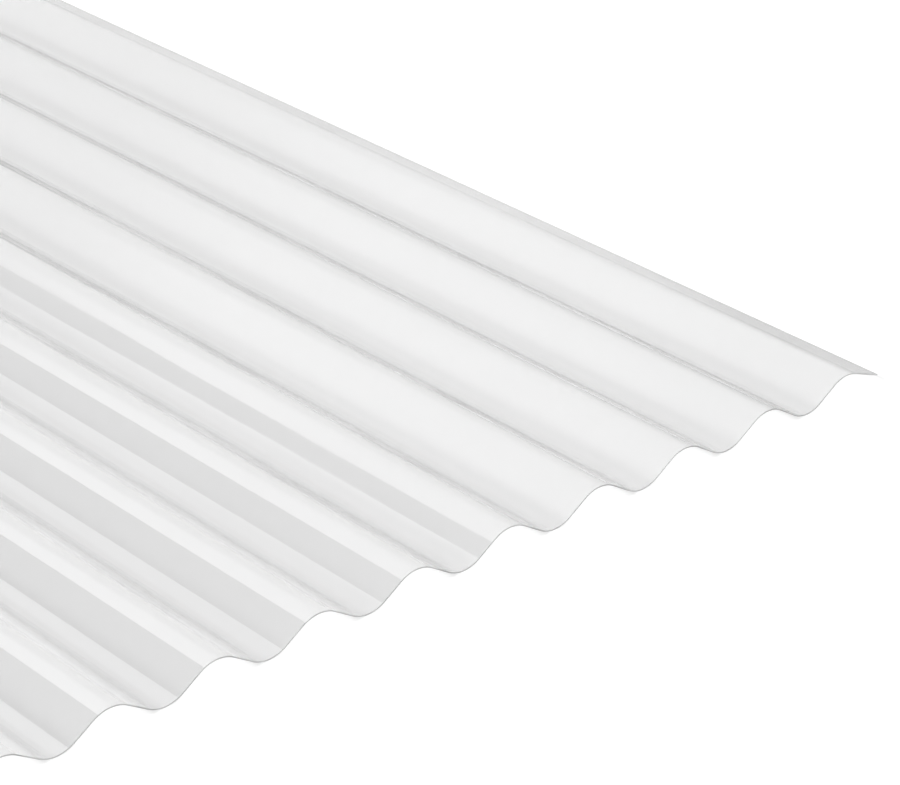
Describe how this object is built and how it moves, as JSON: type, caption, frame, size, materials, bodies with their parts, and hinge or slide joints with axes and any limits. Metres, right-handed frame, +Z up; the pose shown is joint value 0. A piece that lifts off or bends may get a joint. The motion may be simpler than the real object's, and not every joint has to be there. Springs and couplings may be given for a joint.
{
  "type": "corrugated sheet",
  "caption": "Clear corrugated PVC roofing sheet: a thin flat-lying sheet with even rounded waves along its length, plain side lips and square-cut ends.",
  "frame": {"origin": "middle of the underside, on the plane of the trough lines that the sheet lies on", "axes": "+Y along the waves, +X across them towards the side edge with the longer lip, +Z up out of the crests"},
  "size_m": [0.6604, 2.4384, 0.0151],
  "materials": {
    "pvc": "smooth extruded clear PVC"
  },
  "bodies": {
    "root": {"corrugated_sheet": "pvc"}
  },
  "joints": []
}
